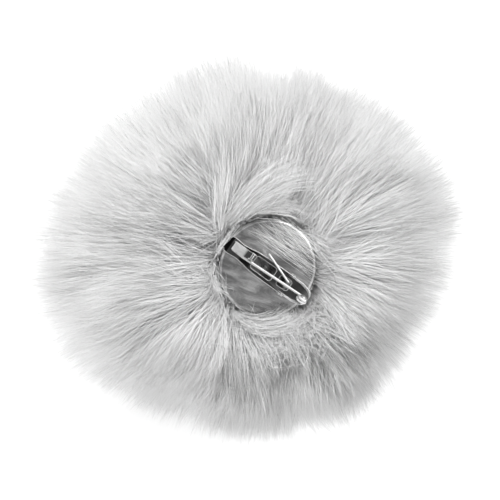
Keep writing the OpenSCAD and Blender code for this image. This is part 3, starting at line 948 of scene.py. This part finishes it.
def scratch_group():
    """Marks of handling on plated steel: fine parallel scratches and soft cloudy smears, each as
    a tone, and the normal of a faintly dented surface."""
    group, source, sink = new_group(
        "plated_steel_marks", ("Scratch Turn", "Cloud Size", "Wave Size", "Wave Depth"),
        (("Scratches", "Float"), ("Clouds", "Float"), ("Normal", "Vector")))
    place = add_node(group, "ShaderNodeTexCoord").outputs["Object"]
    turned = add_node(group, "ShaderNodeVectorRotate", [(place, 0), (source.outputs[0], "Angle")],
                      rotation_type="Z_AXIS")
    long = add_node(group, "ShaderNodeMapping", [(turned.outputs[0], 0)], Scale=(130, 5200, 2600))
    lines = add_node(group, "ShaderNodeTexNoise", [(long.outputs[0], 0)], Scale=1.0, Detail=3.0)
    smear = add_node(group, "ShaderNodeMapping", [(turned.outputs[0], 0)], Scale=(1.0, 2.6, 2.6))
    clouds = add_node(group, "ShaderNodeTexNoise",
                      [(smear.outputs[0], 0), (source.outputs[1], "Scale")],
                      Detail=5.0, Roughness=0.62, Distortion=0.6)
    waves = add_node(group, "ShaderNodeTexNoise", [(place, 0), (source.outputs[2], "Scale")],
                     Detail=1.5)
    scores = ramp(group, lines.outputs[0], [(0.40, 0.0), (0.62, 1.0)])
    relief = add_node(group, "ShaderNodeBump",
                      [(waves.outputs[0], "Height"), (source.outputs[3], "Distance")], Strength=1.0)
    fine = add_node(group, "ShaderNodeBump",
                    [(scores.outputs[0], "Height"), (relief.outputs[0], "Normal")],
                    Strength=0.12, Distance=0.00002)
    group.links.new(scores.outputs[0], sink.inputs[0])
    group.links.new(clouds.outputs[0], sink.inputs[1])
    group.links.new(fine.outputs[0], sink.inputs[2])
    return group


STEEL_MARKS = scratch_group()


def metal_material(name, dark, bright, rough, turn=0.6, cloud=160.0, wave_size=240.0, depth=0.00006):
    """Plated steel: base colour clouded from dark to bright, roughness that rises in the clouds
    and scratches, and a wavy surface."""
    material, tree, shader = new_material(name)
    set_plain(shader, Metallic=1.0)
    marks = place_group(tree, STEEL_MARKS, turn, cloud, wave_size, depth)
    tone = ramp(tree, marks.outputs["Clouds"], [(0.36, dark), (0.62, bright)])
    scored = ramp(tree, marks.outputs["Scratches"], [(0.0, 0.88), (1.0, 1.0)])
    tree.links.new(multiply(tree, tone.outputs[0], scored.outputs[0]), shader.inputs["Base Color"])
    polish = ramp(tree, marks.outputs["Clouds"], [(0.3, rough), (0.7, rough * 1.9)])
    tree.links.new(polish.outputs[0], shader.inputs["Roughness"])
    tree.links.new(marks.outputs["Normal"], shader.inputs["Normal"])
    return material


def jaw_material():
    """The jaw's steel, with light painted in: painted shade on its flat sheet, a painted highlight on
    the folded walls and on the tongue that stands above the sheet, and black painted shade round the
    rolled nose."""
    material, tree, shader = new_material("jaw_steel")
    set_plain(shader, Metallic=1.0)
    marks = place_group(tree, STEEL_MARKS, 0.0, 260.0, 300.0, 0.00005)
    place = add_node(tree, "ShaderNodeTexCoord")
    rise = add_node(tree, "ShaderNodeVectorMath", [(place.outputs["Object"], 0)],
                    operation="DOT_PRODUCT", i1=(-JAW_SLOPE, 0.0, 1.0))
    above = add_node(tree, "ShaderNodeMapRange", [(rise.outputs["Value"], 0)],
                     i1=SHEET_Z - 4 * MM, i2=SHEET_Z + 4 * MM)
    # Painted light by height over the sheet: the flat sheet dark as painted shade, the walls and the
    # tongue above it bright as painted highlight.
    folded = ramp(tree, above.outputs[0], [
        (0.0, 0.80), (0.40, 0.60), (0.455, 0.12), (0.54, 0.12), (0.61, 0.85), (1.0, 0.95),
    ])
    split = add_node(tree, "ShaderNodeSeparateXYZ", [(place.outputs["Object"], 0)])
    length = add_node(tree, "ShaderNodeMapRange", [(split.outputs["X"], 0)],
                      i1=lever_low.x, i2=lever_high.x)
    # Painted light along the jaw: black painted shade at the rolled nose, a bright painted highlight
    # on the tongue, and a dark painted band over the tongue's rolled end.
    nose = ramp(tree, length.outputs[0], [
        (0.0, 0.04), (0.033, 0.05), (0.042, 1.0), (0.175, 0.9),
        (0.20, 0.20), (0.30, 0.22), (0.325, 1.0),
    ])
    clouds = ramp(tree, marks.outputs["Clouds"], [(0.35, 0.75), (0.65, 1.0)])
    both = multiply(tree, folded.outputs[0], nose.outputs[0])
    tree.links.new(multiply(tree, both, clouds.outputs[0]), shader.inputs["Base Color"])
    polish = ramp(tree, marks.outputs["Clouds"], [(0.3, 0.75), (0.7, 1.0)])
    brushed = ramp(tree, length.outputs[0], [(0.035, 0.2), (0.045, 0.80), (0.17, 0.62), (0.2, 0.22)])
    tree.links.new(multiply(tree, polish.outputs[0], brushed.outputs[0]), shader.inputs["Roughness"])
    tree.links.new(marks.outputs["Normal"], shader.inputs["Normal"])
    return material


JAW_SLOPE = math.tan(math.radians(10.4))
SHEET_Z = DISC.z + 1.6 * MM + 14.1 * MM * JAW_SLOPE

METALS = {
    "disc_plate": metal_material("disc_polish", 0.36, 0.84, 0.12, -0.25, 120.0, 150.0, 0.00014),
    "clip_base": metal_material("base_steel", 0.12, 0.30, 0.22),
    "base_rivets": metal_material("rivet_steel", 0.25, 0.40, 0.25),
    "pivot_pin": metal_material("pin_steel", 0.75, 0.90, 0.15),
    # The coil and the arm are one spring wire, but the coil's steel is painted much darker than the
    # arm's: painted shade on the coil, which sits inside the jaw.
    "spring_coil": metal_material("spring_wire", 0.35, 0.55, 0.18),
    "spring_arm": metal_material("spring_arm_wire", 0.86, 0.97, 0.30),
    "needle": metal_material("needle_wire", 0.90, 0.99, 0.28),
    "needle_rivet": metal_material("needle_rivet_steel", 0.35, 0.60, 0.25),
}


def rounded_copy(node, name, width, material, lip_material):
    """A copy of a CAD node's mesh with its loose triangles merged, flat faces joined, and its edges
    rounded by a bevel, as on stamped and tumbled sheet, and given a second material that paints a
    highlight along them."""
    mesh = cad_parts[node].data.copy()
    mesh.name = name
    shape = bmesh.new()
    shape.from_mesh(mesh)
    bmesh.ops.remove_doubles(shape, verts=shape.verts, dist=1e-6)
    bmesh.ops.dissolve_limit(shape, angle_limit=0.01, verts=shape.verts, edges=shape.edges)
    bmesh.ops.recalc_face_normals(shape, faces=shape.faces)
    shape.to_mesh(mesh)
    shape.free()
    mesh.materials.clear()
    mesh.materials.append(material)
    mesh.materials.append(lip_material)
    mesh.polygons.foreach_set("use_smooth", np.ones(len(mesh.polygons), bool))
    piece = bpy.data.objects.new(name, mesh)
    bpy.context.scene.collection.objects.link(piece)
    bevel = piece.modifiers.new("rounded edges", "BEVEL")
    bevel.width = width
    bevel.segments = 2
    bevel.limit_method = "ANGLE"
    bevel.angle_limit = math.radians(35)
    bevel.harden_normals = True
    bevel.material = 1
    bevel.use_clamp_overlap = False
    return piece


# Near-white steel for the bevelled lips: a painted highlight along the jaw's edges.
LIP_HIGHLIGHT_STEEL = metal_material("lip_highlight_steel", 0.92, 1.0, 0.45)
JAW = rounded_copy("clip_lever", "upper_jaw", 0.14 * MM, jaw_material(), LIP_HIGHLIGHT_STEEL)
declare(JAW, "jaw", "clip_lever")


PIVOT = (6.6 * MM, -0.8 * MM, DISC.z + 3.1 * MM)
WIRE_R = 0.3 * MM
# The coil's first turn from the pivot's middle, and the advance of each turn, in mm
COIL_START, COIL_PITCH = -1.85, 0.66


def smooth_path(points, steps):
    """A smooth curve through points: each stretch is a cubic whose ends follow the line through
    their neighbours, with steps points on it."""
    p = np.array(points, float)
    slope = np.gradient(p, axis=0)
    t = (np.arange(steps) / steps)[None, :, None]
    a, b, da, db = p[:-1, None], p[1:, None], slope[:-1, None], slope[1:, None]
    run = (a * (2 * t**3 - 3 * t**2 + 1) + da * (t**3 - 2 * t**2 + t)
           + b * (3 * t**2 - 2 * t**3) + db * (t**3 - t**2))
    return np.concatenate([run.reshape(-1, 3), p[-1:]])


def make_springs():
    """The jaw's spring: a coil of four turns round the pivot with a straight leg on the base, and
    the arm that rises beside the coil, bends over and presses on the jaw."""
    start, sweep = math.radians(17), math.radians(360 * 4 + 90 - 17)
    a = start + np.linspace(0, 1, 128) * sweep
    coil = np.stack([
        PIVOT[0] - MM * np.sin(a),
        PIVOT[1] + MM * (COIL_START + COIL_PITCH * (a - start) / (2 * np.pi)),
        PIVOT[2] - MM * np.cos(a),
    ], 1)
    leg = np.array([math.cos(start), 0, -math.sin(start)]) * 4.6 * MM
    lead = coil[0] + leg * np.linspace(1, 0.06, 12)[:, None]
    shell = tube(np.concatenate([lead, coil]), WIRE_R, up=(0, 1, 0))
    closed_piece("coil_wire", shell, METALS["spring_coil"], "back", "spring_coil")
    end_y = COIL_START + COIL_PITCH * (4 + 73 / 360) + 0.06
    foot = np.array([PIVOT[0] / MM - 1.0, end_y - 0.8, PIVOT[2] / MM + 0.06])
    tip = np.array([-3.6, 4.35 - 0.8, DISC.z / MM + 3.75])
    knee = foot + [0, 0, 2.45]
    over = knee + [-0.5, 0.12, 0.38]
    path = smooth_path([foot, foot + [0, 0, 1.6], knee, knee + [-0.14, 0.02, 0.25], over,
                        (over + tip) / 2, tip], 9) * MM
    shell = tube(path, WIRE_R, up=(0, 1, 0))
    closed_piece("arm_wire", shell, METALS["spring_arm"], "jaw", "spring_arm")


make_springs()


for node, material in METALS.items():
    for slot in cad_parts[node].material_slots:
        slot.material = material
